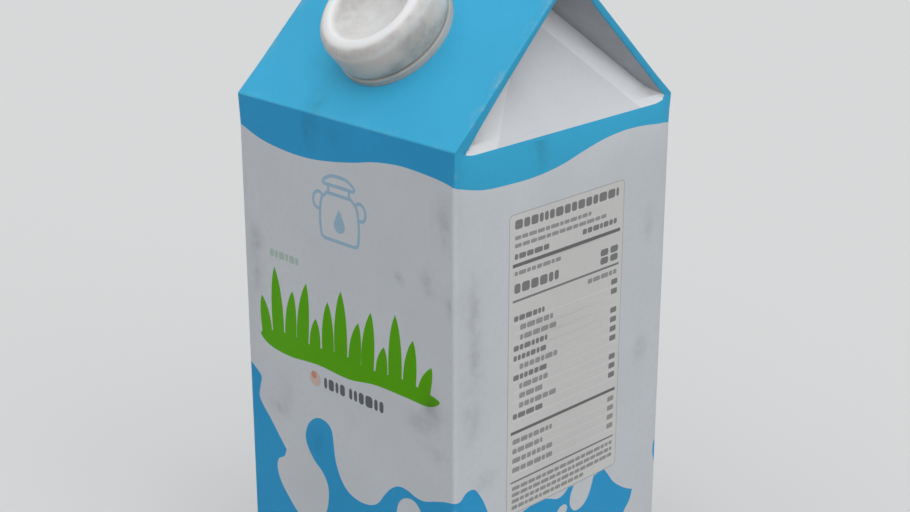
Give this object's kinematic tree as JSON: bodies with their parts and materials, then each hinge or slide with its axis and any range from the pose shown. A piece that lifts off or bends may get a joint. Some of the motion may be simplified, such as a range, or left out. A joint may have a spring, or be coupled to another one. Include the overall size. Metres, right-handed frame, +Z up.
{
  "type": "milk carton",
  "caption": "Gable-top board milk carton, shut and full, with a plain round screw cap with a dished top on the front roof panel and a sealed top fin.",
  "frame": {"origin": "middle of the base, on the surface the carton stands on", "axes": "+Z up the carton, -Y out of the front wall below the cap, +X out of the gable end to the right of it"},
  "size_m": [0.095, 0.095, 0.2553],
  "materials": {
    "printed_board": "coated paperboard with a satin polyethylene film, printed in blue on white",
    "collar_plastic": "satin moulded polyethylene, soiled at its foot",
    "cap_plastic": "satin white moulded polyethylene, lightly scuffed"
  },
  "bodies": {
    "root": {"carton": "printed_board", "spout_collar": "collar_plastic", "cap": "cap_plastic"}
  },
  "joints": []
}
